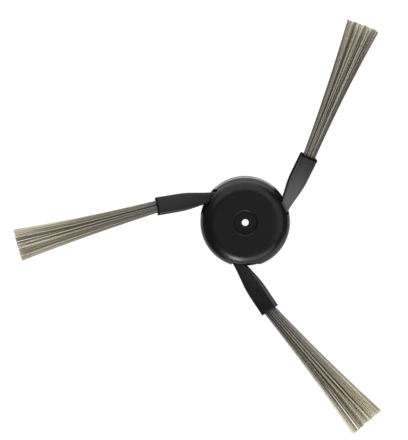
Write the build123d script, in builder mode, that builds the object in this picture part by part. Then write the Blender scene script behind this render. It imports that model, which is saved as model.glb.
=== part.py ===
from build123d import *

import os
from math import cos, radians, sin

# Side brush of a robot vacuum cleaner: a domed hub with three soft arms, each ending in a tuft of
# bristles. +Z runs along the hub's axis towards the dome. The origin is on that axis, in the end
# face of the collar that the brush stands on. Sizes are in millimetres and angles in degrees.

# Arms round the hub
arm_count = 3
arm_sweep = 66.3  # turn of an arm's line from the radius through its post
arm_rise = 7.0  # climb of the arms towards the dome's side
arm_roll = 15.0  # twist of each arm about its own line, all of it reached at the mouth
arm_lean = (-1.8, 2.8, -2.3)  # set that each soft arm has taken about its post
tuft_lean = (4.1, 5.9, 7.6)  # further set of each tuft where it leaves its boot
tuft_trim = (0.96, 0.975, 1.0)  # share of the full length that each tuft is trimmed to
tuft_splay = (0.87, 0.89, 1.0)  # share of the full tip width that each tuft has spread to

# Cap of the hub
hub_diameter = 36.0
shoulder_width = 6.0  # the shoulder between the flat of the dome and its skirt is a quarter of
shoulder_drop = 4.0  # an ellipse, wider than it is high
cap_wall = 1.5  # skirt and roof alike
screw_hole_diameter = 2.8
recess_diameter = 9.5
recess_depth = 2.0
recess_floor = 2.4
recess_lip = 0.4  # rounding of the edge of the recess
column_wall = 1.6  # wall round the recess, inside the hub
sleeve_wall = 1.0  # sleeves under the roof that hold the tops of the posts
sleeve_depth = 2.0

# Base of the hub
collar_diameter = 18.0
collar_height = 2.0
plate_thickness = 2.0
socket_width = 7.0  # square socket for the drive shaft
socket_corner = 0.8
socket_lead = 0.5  # chamfer that leads the shaft in
spigot_wall = 0.8  # ring that centres the cap
spigot_height = 1.2
post_diameter = 2.2
rim_width = 1.5  # stiffening rim and ribs under the plate
rim_depth = 1.2
rib_count = 6
rib_width = 1.2

# Boots
lug_wall = 1.2
neck_width = 3.8
mouth_width = 6.8
boot_thickness = 4.6
boot_length = 29.6  # from the post to the mouth
flare_start = 5.2  # from the post
flare_length = 15.1
boot_edge = 0.5  # rounding of the long edges
boot_sections = 10

# Bristles: each strand stands for a few real filaments
tuft_width = 4.7
tuft_height = 2.6
tuft_length = 59.1  # free length of the longest, from the mouth to the trimmed tips
tip_width = 14.0  # of the widest
tip_height = 6.0
plug_length = 9.0
plug_recess = 2.0  # how far inside the mouth the strands leave the plug
plug_corner = 0.3
strand_size = 0.34
strand_gap = 0.05
row_count = 5

# Fits
spigot_clearance = 0.1
post_clearance = 0.1
boot_clearance = 0.2  # above and below the lug
lug_room = 1.3  # between the lug and the skirt
window_clearance = 0.9  # beside the neck, on the trailing side
window_flex = 5.3  # beside the neck, on the side the arm bends to
window_headroom = 1.7  # above the root of the boot
window_corner = 1.0
window_sweep = 4.5  # corner on the side the arm bends to
tuft_clearance = 0.1

# Heights, built up from the collar
plate_top = collar_height + plate_thickness
boot_bottom = plate_top + boot_clearance
boot_top = boot_bottom + boot_thickness
sleeve_bottom = boot_top + boot_clearance
ceiling = sleeve_bottom + sleeve_depth
hub_height = ceiling + cap_wall
recess_bottom = hub_height - recess_depth
column_bottom = recess_bottom - recess_floor
shoulder_bottom = hub_height - shoulder_drop
boot_middle = (boot_bottom + boot_top) / 2

# Radii
hub_radius = hub_diameter / 2
skirt_inner = hub_radius - cap_wall
flat_radius = hub_radius - shoulder_width
recess_radius = recess_diameter / 2
hole_radius = screw_hole_diameter / 2
column_radius = recess_radius + column_wall
post_radius = post_diameter / 2
post_bore = post_radius + post_clearance
lug_radius = post_bore + lug_wall
sleeve_radius = post_bore + sleeve_wall
post_circle = skirt_inner - lug_room - lug_radius


def arm_place(index, lean):
    """Place of an arm on the hub: its post, turned to the arm's line and the arm's own lean."""
    turn = 360 * index / arm_count
    x = post_circle * cos(radians(turn))
    y = post_circle * sin(radians(turn))
    return Location((x, y, 0), (0, 0, turn + arm_sweep + lean))


def across_arm(along, roll):
    """Place across an arm at a distance past its bend, drawn with its post at the origin and the arm
    along +X: from there on the arm climbs, and it is rolled about its own line."""
    climb = radians(arm_rise)
    level = Plane(
        origin=(bend_start + along * cos(climb), 0, boot_middle + along * sin(climb)),
        x_dir=(0, 1, 0),
        z_dir=(cos(climb), 0, sin(climb)),
    )
    return level.location * Rotation(0, 0, roll)


# Opening that lets an arm out of the hub, along the line of the arm
bend_start = lug_radius + boot_clearance
window_top = boot_thickness / 2 + window_headroom
window_width = neck_width + window_clearance + window_flex
window_middle = (window_flex - window_clearance) / 2
with BuildPart() as window:
    with BuildSketch(across_arm(0, 0)) as arch:
        with Locations((window_middle, 0)):
            Rectangle(window_width, 2 * window_top)
        fillet(arch.vertices().group_by(Axis.Y)[-1].sort_by(Axis.X)[-1], window_sweep)
        fillet(arch.vertices().group_by(Axis.Y)[-1].sort_by(Axis.X)[0], window_corner)
    extrude(amount=hub_diameter)

# Domed cap
with BuildPart() as hub_cap:
    with BuildSketch(Plane.XZ):
        with BuildLine():
            Polyline((hub_radius, shoulder_bottom), (hub_radius, plate_top), (skirt_inner, plate_top))
            Line((skirt_inner, plate_top), (skirt_inner, shoulder_bottom))
            EllipticalCenterArc(
                (flat_radius, shoulder_bottom),
                skirt_inner - flat_radius,
                ceiling - shoulder_bottom,
                arc_size=90,
            )
            FilletPolyline(
                (flat_radius, ceiling),
                (column_radius, ceiling),
                (column_radius, column_bottom),
                (hole_radius, column_bottom),
                (hole_radius, recess_bottom),
                (recess_radius, recess_bottom),
                (recess_radius, hub_height),
                (flat_radius, hub_height),
                radius=(0, 0, 0, 0, 0, recess_lip),
            )
            EllipticalCenterArc((flat_radius, shoulder_bottom), shoulder_width, shoulder_drop, arc_size=90)
        make_face()
    revolve(axis=Axis.Z)
    with BuildSketch(Plane.XY.offset(sleeve_bottom)):
        with PolarLocations(post_circle, arm_count):
            Circle(sleeve_radius)
    extrude(amount=sleeve_depth)
    with BuildSketch(Plane.XY.offset(sleeve_bottom)):
        with PolarLocations(post_circle, arm_count):
            Circle(post_bore)
    extrude(amount=sleeve_depth, mode=Mode.SUBTRACT)
    for index in range(arm_count):
        add(window.part.moved(arm_place(index, 0)), mode=Mode.SUBTRACT)

# Base plate, with the drive socket on one side and the posts on the other
with BuildPart() as hub_base:
    with BuildSketch(Plane.XY.offset(collar_height)):
        Circle(hub_radius)
    extrude(amount=plate_thickness)
    with BuildSketch(Plane.XY.offset(collar_height)):
        Circle(hub_radius)
        Circle(hub_radius - rim_width, mode=Mode.SUBTRACT)
        with PolarLocations(hub_radius / 2, rib_count):
            Rectangle(hub_radius - rim_width, rib_width)
    extrude(amount=-rim_depth)
    with BuildSketch():
        Circle(collar_diameter / 2)
    extrude(amount=plate_top)
    with BuildSketch(Plane.XY.offset(plate_top)):
        Circle(skirt_inner - spigot_clearance)
        Circle(skirt_inner - spigot_clearance - spigot_wall, mode=Mode.SUBTRACT)
        for index in range(arm_count):
            with Locations(arm_place(index, 0) * Location((hub_radius, window_middle))):
                Rectangle(hub_diameter, window_width, mode=Mode.SUBTRACT)
    extrude(amount=spigot_height)
    with BuildSketch(Plane.XY.offset(plate_top)):
        Circle(column_radius)
    extrude(amount=column_bottom - plate_top)
    with BuildSketch(Plane.XY.offset(plate_top)):
        with PolarLocations(post_circle, arm_count):
            Circle(post_radius)
    extrude(amount=ceiling - boot_clearance - plate_top)
    with BuildSketch():
        RectangleRounded(socket_width, socket_width, socket_corner)
    extrude(amount=column_bottom, mode=Mode.SUBTRACT)
    with BuildSketch():
        RectangleRounded(
            socket_width + 2 * socket_lead,
            socket_width + 2 * socket_lead,
            socket_corner + socket_lead,
        )
    extrude(amount=socket_lead, taper=45, mode=Mode.SUBTRACT)

# Boot: sections from the post to the mouth, wider and more rolled as they go
boot_reach = boot_length - bend_start
with BuildPart() as boot:
    with BuildSketch(Plane(origin=(0, 0, boot_middle), x_dir=(0, 1, 0), z_dir=(1, 0, 0))):
        RectangleRounded(neck_width, boot_thickness, boot_edge)
    for section in range(boot_sections):
        share = section / (boot_sections - 1)
        flare = min(max((bend_start + share * boot_reach - flare_start) / flare_length, 0), 1)
        width = neck_width + (mouth_width - neck_width) * flare**2 * (3 - 2 * flare)
        with BuildSketch(across_arm(share * boot_reach, arm_roll * share * (2 - share))):
            RectangleRounded(width, boot_thickness, boot_edge)
    loft()
    with BuildSketch(Plane.XY.offset(boot_bottom)):
        Circle(lug_radius)
    extrude(amount=boot_thickness)
    with BuildSketch(Plane.XY.offset(plate_top)):
        Circle(post_bore)
    extrude(amount=ceiling - plate_top, mode=Mode.SUBTRACT)
    mouth = across_arm(boot_reach, arm_roll)
    with BuildSketch(mouth):
        RectangleRounded(
            tuft_width + 2 * tuft_clearance,
            tuft_height + 2 * tuft_clearance,
            plug_corner + tuft_clearance,
        )
    extrude(amount=-(plug_recess + plug_length), mode=Mode.SUBTRACT)


# Strands stand in rows across the plug, each row half a pitch from the next
strand_pitch = strand_size + strand_gap
row_pitch = (tuft_height - strand_pitch) / (row_count - 1)
longest_row = int(tuft_width // strand_pitch)
row_span = (longest_row - 1) * strand_pitch


def strand_roots():
    """Places of the strands across the plug, each with its own place up or down at the tips, so
    that the rows part into one even brush."""
    for row in range(row_count):
        count = longest_row - (row + 1) % 2
        for column in range(count):
            across = (column - (count - 1) / 2) * strand_pitch
            up = (row - (row_count - 1) / 2) * row_pitch
            stray = (column * 0.618 + row * 0.382) % 1 - 0.5
            yield across, up, up + stray * row_pitch


def strand_point(root, share, fan):
    """Point of a strand at a share of its length past the mouth: the strands part more and more
    towards their tips, and the whole fan is turned by its lean. Gives the depth, then the place."""
    across, up, tip_up = root
    length, tip_span, lean = fan
    part = 0.5 * share + 0.5 * share**2
    spread = across * (1 + (tip_span / row_span - 1) * part)
    lift = up + (tip_up * tip_height / tuft_height - up) * part
    turn = radians(lean)
    depth = share * length * cos(turn) - spread * sin(turn)
    return depth, (share * length * sin(turn) + spread * cos(turn), lift)


def make_strand(root, fan):
    """One strand, from the plug to its trimmed tip, drawn with the mouth in the XY plane."""
    stations = [(-plug_recess, root[:2]), (0, root[:2])]
    stations.append(strand_point(root, 0.45, fan))
    stations.append(strand_point(root, 1, fan))
    with BuildPart() as strand:
        for depth, place in stations:
            with BuildSketch(Plane.XY.offset(depth)):
                with Locations(place):
                    RegularPolygon(strand_size / 2, 4)
        loft(ruled=True, clean=False)
    return strand.part


def make_tuft(index):
    """One tuft, drawn with the mouth in the XY plane: the skins of the plug and of its strands,
    sewn together round the face that the strands grow from."""
    length = tuft_length * tuft_trim[index % len(tuft_trim)]
    tip_span = tip_width * tuft_splay[index % len(tuft_splay)] - strand_size
    fan = (length, tip_span, tuft_lean[index % len(tuft_lean)])
    roots = list(strand_roots())
    with BuildSketch(Plane.XY.offset(-plug_recess)) as root_face:
        RectangleRounded(tuft_width, tuft_height, plug_corner)
        with Locations(*[(across, up) for across, up, tip_up in roots]):
            RegularPolygon(strand_size / 2, 4, mode=Mode.SUBTRACT)
    with BuildPart() as plug:
        with BuildSketch(Plane.XY.offset(-plug_recess)):
            RectangleRounded(tuft_width, tuft_height, plug_corner)
        extrude(amount=-plug_length)
    skins = root_face.sketch.faces() + plug.faces().sort_by(Axis.Z)[:-1]
    for root in roots:
        skins += make_strand(root, fan).faces().sort_by(Axis.Z)[1:]
    return Solid(Shell(skins))


os.makedirs("parts", exist_ok=True)
hub_cap.part.label = "hub_cap"
export_step(hub_cap.part, "parts/hub_cap.step")
hub_base.part.label = "hub_base"
export_step(hub_base.part, "parts/hub_base.step")
for index in range(arm_count):
    place = arm_place(index, arm_lean[index % len(arm_lean)])
    arm_boot = boot.part.moved(place)
    arm_boot.label = f"arm_boot_{index + 1}"
    export_step(arm_boot, f"parts/{arm_boot.label}.step")
    bristles = make_tuft(index).moved(place * mouth)
    bristles.label = f"bristle_tuft_{index + 1}"
    export_step(bristles, f"parts/{bristles.label}.step")
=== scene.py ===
from math import cos, pi, radians, sin

import bpy
import numpy as np
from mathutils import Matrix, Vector


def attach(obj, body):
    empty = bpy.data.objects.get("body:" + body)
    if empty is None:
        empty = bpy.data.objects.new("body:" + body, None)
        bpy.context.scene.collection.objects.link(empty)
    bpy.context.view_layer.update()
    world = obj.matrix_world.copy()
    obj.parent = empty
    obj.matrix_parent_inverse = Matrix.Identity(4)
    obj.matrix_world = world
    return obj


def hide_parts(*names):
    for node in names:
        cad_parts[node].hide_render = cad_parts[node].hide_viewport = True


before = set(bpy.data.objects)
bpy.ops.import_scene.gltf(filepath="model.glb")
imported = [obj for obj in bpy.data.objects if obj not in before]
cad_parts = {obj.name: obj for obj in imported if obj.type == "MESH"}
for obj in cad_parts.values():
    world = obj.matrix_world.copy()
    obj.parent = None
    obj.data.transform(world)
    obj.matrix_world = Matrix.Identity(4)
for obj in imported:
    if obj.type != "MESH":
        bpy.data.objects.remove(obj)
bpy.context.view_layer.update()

# Hub base: the plate that closes the hub from below, with the collar and square socket that the
# motor's shaft drives, and the posts that the arms hang on. It is moulded in black plastic, with the
# fine grain that a spark-eroded mould leaves.


class Tone:
    """A socket of a finish. Sums, products and powers with numbers or other sockets add Math nodes."""

    def __init__(self, tree, socket=None):
        self.tree = tree
        self.socket = socket

    def wire(self, node, values):
        """Sets a node's sockets, by name or number, to links or to plain values."""
        for key, value in values.items():
            if isinstance(value, Tone):
                self.tree.links.new(value.socket, node.inputs[key])
            else:
                node.inputs[key].default_value = value

    def node(self, kind, settings=None, values=None, output=0):
        """Adds a node of that type, its settings first and then its sockets, and gives one output."""
        made = self.tree.nodes.new(kind)
        for key, value in (settings or {}).items():
            setattr(made, key, value)
        self.wire(made, values or {})
        return Tone(self.tree, made.outputs[output])

    def maths(self, operation, first, second):
        return self.node("ShaderNodeMath", {"operation": operation}, {0: first, 1: second})

    def __add__(self, other):
        return self.maths("ADD", self, other)

    def __sub__(self, other):
        return self.maths("SUBTRACT", self, other)

    def __rsub__(self, other):
        return self.maths("SUBTRACT", other, self)

    def __mul__(self, other):
        return self.maths("MULTIPLY", self, other)

    def __pow__(self, other):
        return self.maths("POWER", self, other)

    __radd__ = __add__
    __rmul__ = __mul__


def new_finish(name):
    """A material with one shader: gives the material, the shader, and Object coordinates in metres."""
    finish = bpy.data.materials.new(name)
    finish.use_nodes = True
    place = Tone(finish.node_tree).node("ShaderNodeTexCoord", output="Object")
    return finish, finish.node_tree.nodes["Principled BSDF"], place


def speckle(place, scale, detail=2.0, stretch=(1, 1, 1), turn=(0, 0, 0)):
    """Noise with that many features to the metre, stretched along each axis and turned."""
    mapped = place.node("ShaderNodeMapping", {}, {"Vector": place, "Scale": stretch, "Rotation": turn})
    return place.node("ShaderNodeTexNoise", {}, {"Vector": mapped, "Scale": scale, "Detail": detail})


def step_up(tone, low, high):
    """Nothing below the low value and all above the high one, with a smooth rise between."""
    limits = {"Value": tone, "From Min": low, "From Max": high}
    return tone.node("ShaderNodeMapRange", {"interpolation_type": "SMOOTHSTEP"}, limits)


def dye(mask, first, second):
    """Colour that goes from the first to the second with the mask."""
    return mask.node("ShaderNodeMix", {"data_type": "RGBA"}, {0: mask, 6: first, 7: second}, 2)


def relief(height, depth):
    """Bump whose full height is a depth in metres."""
    return height.node("ShaderNodeBump", {}, {"Strength": 1.0, "Distance": depth, "Height": height})


def dress(finish, *names):
    """Puts a finish on solids of the frame."""
    for name in names:
        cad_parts[name].material_slots[0].material = finish


grained_plastic, shader, place = new_finish("grained_black_plastic")
spark_grain = speckle(place, 4200, 3)
mould_cloud = speckle(place, 110, 2)
place.wire(shader, {
    "Base Color": dye(mould_cloud, (0.007, 0.007, 0.0073, 1), (0.014, 0.014, 0.0143, 1)),
    "Roughness": 0.42 + 0.22 * spark_grain,
    "Specular IOR Level": 0.45,
    "Normal": relief(spark_grain, 0.00003),
})
dress(grained_plastic, "hub_base")

# Arm boots: three soft black rubber sleeves, each with its root on a post inside the hub. They are
# moulded with a slightly crowned, smooth top, with a painted sheen that lightens the root, and with
# dull sides and a dull rim at the mouth; how dull the sides are is set boot by boot and paints shade
# into their reflections.

mm = 0.001
arm_turn = (64.5, 189.1, 304.0)  # direction of each arm on the hub
arm_rise = radians(7)
arm_roll = radians(15)
post_circle = 12.8 * mm
boot_bend = 2.6 * mm  # from the post to where the arm starts to climb
boot_middle = 6.5 * mm
mouth_reach = 27.0 * mm  # from the bend to the mouth
dull_from = 1.7 * mm  # height over the boot's middle at which the dull sides begin
dull_below = 1.4 * mm  # and below which they are fully dull
side_gloss_for_shade = (0.06, 0.25, 0.9)  # shine of the dull sides of each boot, set boot by boot to paint shade into their reflections
rim_width = 0.9 * mm  # dull edge round the mouth
root_sheen = (1.0, 0.0, 0.05)  # painted sheen: how much lighter the root of each boot is made
sheen_start = 2.0 * mm  # from the bend to where the painted sheen starts to thin
sheen_end = 30.0 * mm  # and to where there is none
boot_half_width = 4.0 * mm
crown_height = 0.45 * mm  # rise of the boot's top towards its middle line
skin_depth = 0.04 * mm


def reach(place, way, start):
    """How far a point is from a start, along a direction."""
    product = {"operation": "DOT_PRODUCT"}
    along = place.node("ShaderNodeVectorMath", product, {0: place, 1: way}, "Value")
    return along - way.dot(start)


for index in range(3):
    post = 2 * pi * index / 3
    turn = radians(arm_turn[index])
    outward = Vector((cos(turn), sin(turn), 0))
    left = Vector((-sin(turn), cos(turn), 0))
    ahead = cos(arm_rise) * outward + sin(arm_rise) * Vector((0, 0, 1))
    level_up = cos(arm_rise) * Vector((0, 0, 1)) - sin(arm_rise) * outward
    boot_left = cos(arm_roll) * left + sin(arm_roll) * level_up
    boot_up = cos(arm_roll) * level_up - sin(arm_roll) * left
    hang = Vector((post_circle * cos(post), post_circle * sin(post), boot_middle))
    bend = hang + boot_bend * outward
    boot_rubber, shader, place = new_finish(f"matte_black_rubber_{index + 1}")
    top = step_up(reach(place, boot_up, bend), dull_below, dull_from)
    along = reach(place, ahead, bend)
    rim = step_up(along, mouth_reach - rim_width, mouth_reach - 0.5 * rim_width)
    # painted sheen: share of the lighter colour at the root of the boot, fading towards the mouth
    root_sheen_share = 1 - step_up(along, sheen_start, sheen_end)
    aside = reach(place, boot_left, bend) * (1 / boot_half_width)
    skin = speckle(place, 3000, 4)
    dust = step_up(speckle(place, 260, 5), 0.42, 0.75)
    rubbed = speckle(place, 70, 2)
    worn = 0.5 * dust + 0.3 * rubbed
    clean = dye(worn, (0.004, 0.004, 0.0042, 1), (0.014, 0.0136, 0.013, 1))
    crown = aside * aside * (-crown_height / skin_depth)
    place.wire(shader, {
        # painted sheen lightens the root of the boot over its own dust and wear
        "Base Color": dye(root_sheen[index] * root_sheen_share, clean, (0.15, 0.15, 0.15, 1)),
        "Roughness": 0.32 + 0.08 * skin + 0.08 * dust,
        "Specular IOR Level": 0.5,
        "Normal": relief(skin + 0.6 * rubbed + crown, skin_depth),
    })
    # the sides' shader: its shine, set boot by boot, paints shade into the reflections of the sides
    # and of the rim
    shaded_dull_side = place.node("ShaderNodeBsdfPrincipled", {}, {
        "Base Color": clean,
        "Roughness": 0.95,
        "Specular IOR Level": side_gloss_for_shade[index],
        "Normal": relief(skin + 0.6 * rubbed, skin_depth),
    })
    smooth_top = Tone(place.tree, shader.outputs[0])
    both = place.node("ShaderNodeMixShader", {}, {0: 1 - top * (1 - rim), 1: smooth_top, 2: shaded_dull_side})
    place.wire(place.tree.nodes["Material Output"], {"Surface": both})
    dress(boot_rubber, f"arm_boot_{index + 1}")

# Bristle tufts: about two hundred nylon filaments each, fused into a plug that sits in the mouth of
# the boot. They fan out to a trimmed end, and have parted into strands and finer wisps.

tuft_lean = (3.8, 5.9, 7.6)  # further turn of each tuft at its mouth
root_paleness = (0.15, 0.06, 0.0)  # how pale each tuft is at its root
tip_paleness = (0.68, 1.0, 1.0)  # and at its tips
tuft_seed = (107, 78, 119)
strand_count = (5, 5, 6)  # broad strands that each tuft has parted into
strand_pull = (0.02, 0.14, 0.1)  # how far the ends of a strand have drawn together
wisp_count = (20, 20, 24)  # narrow wisps in each tuft
side_tint = (0.08, 0.1, 0.28)  # how much paler each tuft is on its left side
wisp_slant = (0.155, 0.09, 0.155)  # slope of the upright wisps against the rolled plug of each tuft
strand_shade = 0.12  # range of tints from strand to strand
wisp_shade = 0.95  # from wisp to wisp
own_shade = 0.08  # and from filament to filament
cleft_painted_shade = 0.7  # painted shade: how much darker filaments are beside a parting
under_painted_shade = 0.4  # and, as painted shade, at the bottom of the tuft
plug_tint = 0.4
root_scatter = 0.35  # share of a pitch by which roots stand off their grid
trim_spread = 0.1 * mm
wisp_bow_spread = 0.25 * mm  # how far the wisps bow sideways
own_bow_spread = 0.05 * mm  # and each filament in its wisp
tuft_width = 4.7 * mm
tuft_height = 2.6 * mm
tuft_length = (56.7 * mm, 57.6 * mm, 59.1 * mm)
tip_width = (12.2 * mm, 12.5 * mm, 14.0 * mm)
tip_height = 6.0 * mm
plug_recess = 2.0 * mm
plug_length = 9.0 * mm
filament_radius = 0.13 * mm
filament_pitch = 0.26 * mm
filament_sides = 5


def from_mouth(across, up, depth, index):
    """Points beside, above and out of a mouth, carried to their place on the hub: the mouth is rolled
    about the arm's line, tipped up by the arm's rise, pushed out along it, and turned with the arm."""
    level = across * cos(arm_roll) - up * sin(arm_roll)
    up = across * sin(arm_roll) + up * cos(arm_roll)
    across = level
    out = boot_bend + (mouth_reach + depth) * cos(arm_rise) - up * sin(arm_rise)
    high = boot_middle + (mouth_reach + depth) * sin(arm_rise) + up * cos(arm_rise)
    post = 2 * pi * index / 3
    turn = radians(arm_turn[index])
    x = post_circle * cos(post) + out * cos(turn) - across * sin(turn)
    y = post_circle * sin(post) + out * sin(turn) + across * cos(turn)
    return np.stack([x, y, high], axis=-1)


def bunch(roots, count, rng):
    """Sorts roots from -1 to 1 into uneven wisps. Gives the middle of each root's wisp, the number of
    that wisp, and how near each root is to a parting between two wisps."""
    middles = 2 * (np.arange(count) + 0.5 + rng.uniform(-0.35, 0.35, count)) / count - 1
    apart = np.abs(roots[:, None] - middles)
    wisp = apart.argmin(axis=1)
    closest, second = np.sort(apart, axis=1)[:, :2].T
    parting = (1 - count * (second - closest)).clip(0, 1)
    return middles[wisp], wisp, parting


def make_filaments(index):
    """Tubes along the filaments of one tuft, as a grid of filament, station and side. A filament runs
    straight out of its plug and then parts from the middle by half of s + s squared, where s is its
    share of the length, towards a tip that is drawn a little to the middle of its strand. The upper
    filaments bow sideways with their wisp, by the sine of pi times s."""
    rng = np.random.default_rng(tuft_seed[index])
    columns = int((tuft_width - 2 * filament_radius) / filament_pitch) + 1
    rows = int((tuft_height - 2 * filament_radius) / (0.9 * filament_pitch)) + 1
    grid_u, grid_v = np.meshgrid(np.linspace(-1, 1, columns), np.linspace(-1, 1, rows))
    grid_u[1::2] += 1 / columns
    root_u = (grid_u.ravel() + rng.normal(0, root_scatter, grid_u.size) / columns).clip(-1, 1)
    root_v = (grid_v.ravel() + rng.normal(0, root_scatter, grid_v.size) / rows).clip(-1, 1)
    sheet = root_u - wisp_slant[index] * root_v
    middle, strand, cleft = bunch(sheet, strand_count[index], rng)
    _, wisp, _ = bunch(sheet, wisp_count[index], rng)
    tip_u = root_u + strand_pull[index] * (middle - sheet)
    wisp_trim = rng.normal(0, trim_spread, wisp_count[index])
    length = tuft_length[index] + wisp_trim[wisp] + rng.normal(0, trim_spread, root_u.size)
    near_top = (root_v + 1) / 2
    wisp_bow = rng.normal(0, wisp_bow_spread, wisp_count[index])
    bow = wisp_bow[wisp] * near_top**2 + rng.normal(0, own_bow_spread, root_u.size)
    share = np.array([0, 0, 0.16, 0.36, 0.58, 0.8, 1.0])
    sunk = np.array([plug_recess + mm, 0, 0, 0, 0, 0, 0])
    part = 0.5 * share + 0.5 * share**2
    half_width = tuft_width / 2 - filament_radius
    half_height = tuft_height / 2 - filament_radius
    spread = root_u[:, None] * half_width * (1 - part) + tip_u[:, None] * part * tip_width[index] / 2
    spread = spread + bow[:, None] * np.sin(pi * share)
    lift = root_v[:, None] * half_height * (1 - part) + root_v[:, None] * part * tip_height / 2
    along = length[:, None] * share - sunk
    lean = radians(tuft_lean[index])
    free = (share > 0) * 1.0
    across = spread * np.where(share > 0, cos(lean), 1) + along * free * sin(lean)
    depth = along * np.where(share > 0, cos(lean), 1) - spread * free * sin(lean)
    around = 2 * pi * np.arange(filament_sides) / filament_sides
    ring_across = across[:, :, None] + filament_radius * np.cos(around)
    ring_up = lift[:, :, None] + filament_radius * np.sin(around)
    ring_depth = np.broadcast_to(depth[:, :, None], ring_up.shape)
    points = from_mouth(ring_across, ring_up, ring_depth, index)
    strand_tint = rng.permutation(np.linspace(0, strand_shade, strand_count[index]))
    wisp_tint = wisp_shade * rng.beta(0.42, 0.36, wisp_count[index])
    own_tint = own_shade * rng.uniform(0, 1, sheet.size)
    tint_and_shade = strand_tint[strand] + wisp_tint[wisp] + own_tint + side_tint[index] * sheet
    # painted shade: darker beside the partings between strands and towards the bottom of the tuft
    tint_and_shade = tint_and_shade.clip(0, 1) * (1 - cleft_painted_shade * cleft) * (1 - under_painted_shade + under_painted_shade * near_top)
    tints_and_shades = np.broadcast_to(tint_and_shade[:, None, None], ring_up.shape)
    paleness = root_paleness[index] + (tip_paleness[index] - root_paleness[index]) * share**0.7
    runs = np.broadcast_to(paleness[None, :, None], ring_up.shape)
    return points, tints_and_shades, runs


def make_plug(index):
    """The fused root of a tuft: a rectangle with rounded corners carried along the mouth's line."""
    around = 2 * pi * (np.arange(32) + 0.5) / 32
    round_across = np.sign(np.cos(around)) * np.abs(np.cos(around)) ** 0.25
    round_up = np.sign(np.sin(around)) * np.abs(np.sin(around)) ** 0.25
    depth = np.array([-plug_recess - plug_length, -plug_recess])
    rings = np.ones((1, 2, 1))
    across = rings * round_across * tuft_width / 2
    up = rings * round_up * tuft_height / 2
    return from_mouth(across, up, rings * depth[None, :, None], index)


def tube_faces(tubes, stations, sides, first):
    """Quads between the rings of many tubes, and one closing face at each end of each tube."""
    numbers = first + np.arange(tubes * stations * sides).reshape(tubes, stations, sides)
    ahead = np.roll(numbers, -1, axis=2)
    corners = [numbers[:, :-1], ahead[:, :-1], ahead[:, 1:], numbers[:, 1:]]
    walls = np.stack(corners, axis=-1).reshape(-1, 4)
    ends = np.concatenate([numbers[:, 0, ::-1], numbers[:, -1]])
    return walls, ends


nylon, shader, place = new_finish("bristle_nylon")
# the filaments' tint, which carries painted shade at the partings and at the bottom of each tuft
tint_and_shade = place.node("ShaderNodeAttribute", {"attribute_name": "tint_and_shade"}, output="Fac")
run = place.node("ShaderNodeAttribute", {"attribute_name": "run"}, output="Fac")
streak = speckle(place, 900, 2)
dark = dye(run, (0.008, 0.008, 0.008, 1), (0.2, 0.145, 0.085, 1))
light = dye(run, (0.3, 0.31, 0.3, 1), (1.0, 0.92, 0.71, 1))
place.wire(shader, {
    "Base Color": dye(0.95 * tint_and_shade + 0.05 * streak + 0.22 * run**3, dark, light),
    "Roughness": 0.32 + 0.16 * streak,
    "Specular IOR Level": 0.5,
})

for index in range(3):
    points, tints_and_shades, runs = make_filaments(index)
    plug = make_plug(index)
    walls, ends = tube_faces(*points.shape[:3], 0)
    plug_walls, plug_ends = tube_faces(*plug.shape[:3], tints_and_shades.size)
    places = np.concatenate([points.reshape(-1, 3), plug.reshape(-1, 3)])
    faces = [*walls.tolist(), *plug_walls.tolist(), *ends.tolist(), *plug_ends.tolist()]
    mesh = bpy.data.meshes.new(f"filaments_{index + 1}")
    mesh.from_pydata(places.tolist(), [], faces)
    smooth = np.arange(len(faces)) < len(walls)
    mesh.polygons.foreach_set("use_smooth", smooth)
    shades = np.concatenate([tints_and_shades.ravel(), np.full(plug[..., 0].size, plug_tint)])
    lengths = np.concatenate([runs.ravel(), np.zeros(plug[..., 0].size)])
    for attribute, values in (("tint_and_shade", shades), ("run", lengths)):
        layer = mesh.attributes.new(attribute, "FLOAT", "POINT")
        layer.data.foreach_set("value", values.astype(np.float32))
    mesh.materials.append(nylon)
    tuft = bpy.data.objects.new(f"filaments_{index + 1}", mesh)
    bpy.context.scene.collection.objects.link(tuft)
    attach(tuft, "root")
    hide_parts(f"bristle_tuft_{index + 1}")

# Hub cap: the domed cover over the arm roots, pressed onto the base, with the recess and through hole
# for the screw. It is moulded in black plastic with a satin skin, and has faint handling marks.

satin_plastic, shader, place = new_finish("satin_black_plastic")
skin = speckle(place, 5200, 2)
flow = speckle(place, 85, 3)
first_marks = step_up(speckle(place, 55, 2, (1, 38, 1), (0, 0, 0.6)), 0.64, 0.72)
second_marks = step_up(speckle(place, 60, 2, (34, 1, 1), (0, 0, 0.25)), 0.66, 0.74)
marks = first_marks + second_marks
place.wire(shader, {
    "Base Color": dye(flow, (0.005, 0.005, 0.0053, 1), (0.009, 0.009, 0.0093, 1)),
    "Roughness": 0.2 + 0.06 * flow + 0.04 * skin + 0.05 * marks,
    "Specular IOR Level": 0.5,
    "Normal": relief(0.6 * skin + 0.2 * flow - 0.1 * marks, 0.00001),
})
dress(satin_plastic, "hub_cap")

# Floor, lamps and camera: a white sheet, soft lamps on the near, far and right sides and overhead,
# and a camera that looks down almost straight, as for a parts catalogue.

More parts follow.
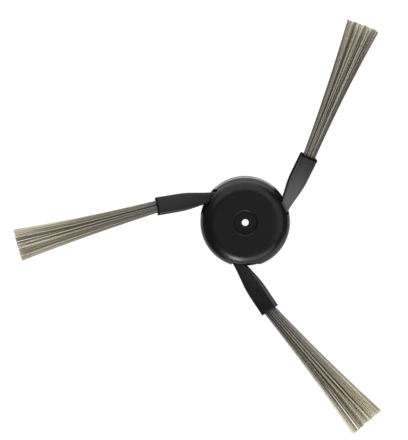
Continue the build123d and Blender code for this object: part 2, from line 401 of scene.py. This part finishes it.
white_sheet, shader, place = new_finish("white_sheet")
place.wire(shader, {
    "Base Color": (0.2, 0.2, 0.2, 1),
    "Roughness": 0.8,
    "Emission Color": (1, 1, 1, 1),
    "Emission Strength": 0.95,
})
half_floor = 6.0
corners = [(-half_floor, -half_floor, 0), (half_floor, -half_floor, 0),
           (half_floor, half_floor, 0), (-half_floor, half_floor, 0)]
sheet_mesh = bpy.data.meshes.new("floor")
sheet_mesh.from_pydata(corners, [], [(0, 1, 2, 3)])
sheet_mesh.materials.append(white_sheet)
floor = bpy.data.objects.new("floor", sheet_mesh)
bpy.context.scene.collection.objects.link(floor)


lamp_distance = 2.0


def hang_lamp(name, azimuth, from_vertical, width, height, radiance):
    """A rectangular lamp that faces the hub. Its power is pi times its area times its radiance."""
    lamp = bpy.data.lights.new(name, "AREA")
    lamp.shape = "RECTANGLE"
    lamp.size = width
    lamp.size_y = height
    lamp.energy = pi * width * height * radiance
    hung = bpy.data.objects.new(name, lamp)
    tip = radians(from_vertical)
    way = Vector((cos(radians(azimuth)) * sin(tip), sin(radians(azimuth)) * sin(tip), cos(tip)))
    hung.location = way * lamp_distance
    hung.rotation_euler = way.to_track_quat("Z", "Y").to_euler()
    bpy.context.scene.collection.objects.link(hung)


hang_lamp("near_lamp", -102, 46, 0.36, 0.62, 13.0)
hang_lamp("near_fill", -68, 43, 1.0, 0.7, 2.0)
hang_lamp("near_low", -70, 76, 4.0, 0.9, 1.2)
hang_lamp("far_lamp", 97, 36, 2.3, 1.7, 0.85)
hang_lamp("far_low", 97, 74, 5.0, 1.0, 2.0)
hang_lamp("side_lamp", 0, 29, 1.2, 1.2, 0.6)
hang_lamp("ceiling", -90, 8, 0.9, 0.85, 0.19)

room = bpy.data.worlds.new("room")
room.use_nodes = True
room.node_tree.nodes["Background"].inputs["Color"].default_value = (0.06, 0.06, 0.06, 1)
bpy.context.scene.world = room
bpy.context.scene.view_settings.view_transform = "Standard"

camera_tilt = radians(5.5)
camera_distance = 1.2
frame_height = 0.1768
aim = Vector((-0.0165, 0.0005, 0.0045))
lens = bpy.data.cameras.new("catalogue_camera")
lens.sensor_fit = "VERTICAL"
lens.sensor_height = 24
lens.lens = lens.sensor_height * camera_distance / frame_height
camera = bpy.data.objects.new("catalogue_camera", lens)
camera.location = aim + camera_distance * Vector((0, sin(camera_tilt), cos(camera_tilt)))
camera.rotation_euler = (-camera_tilt, 0, 0)
bpy.context.scene.collection.objects.link(camera)
bpy.context.scene.camera = camera
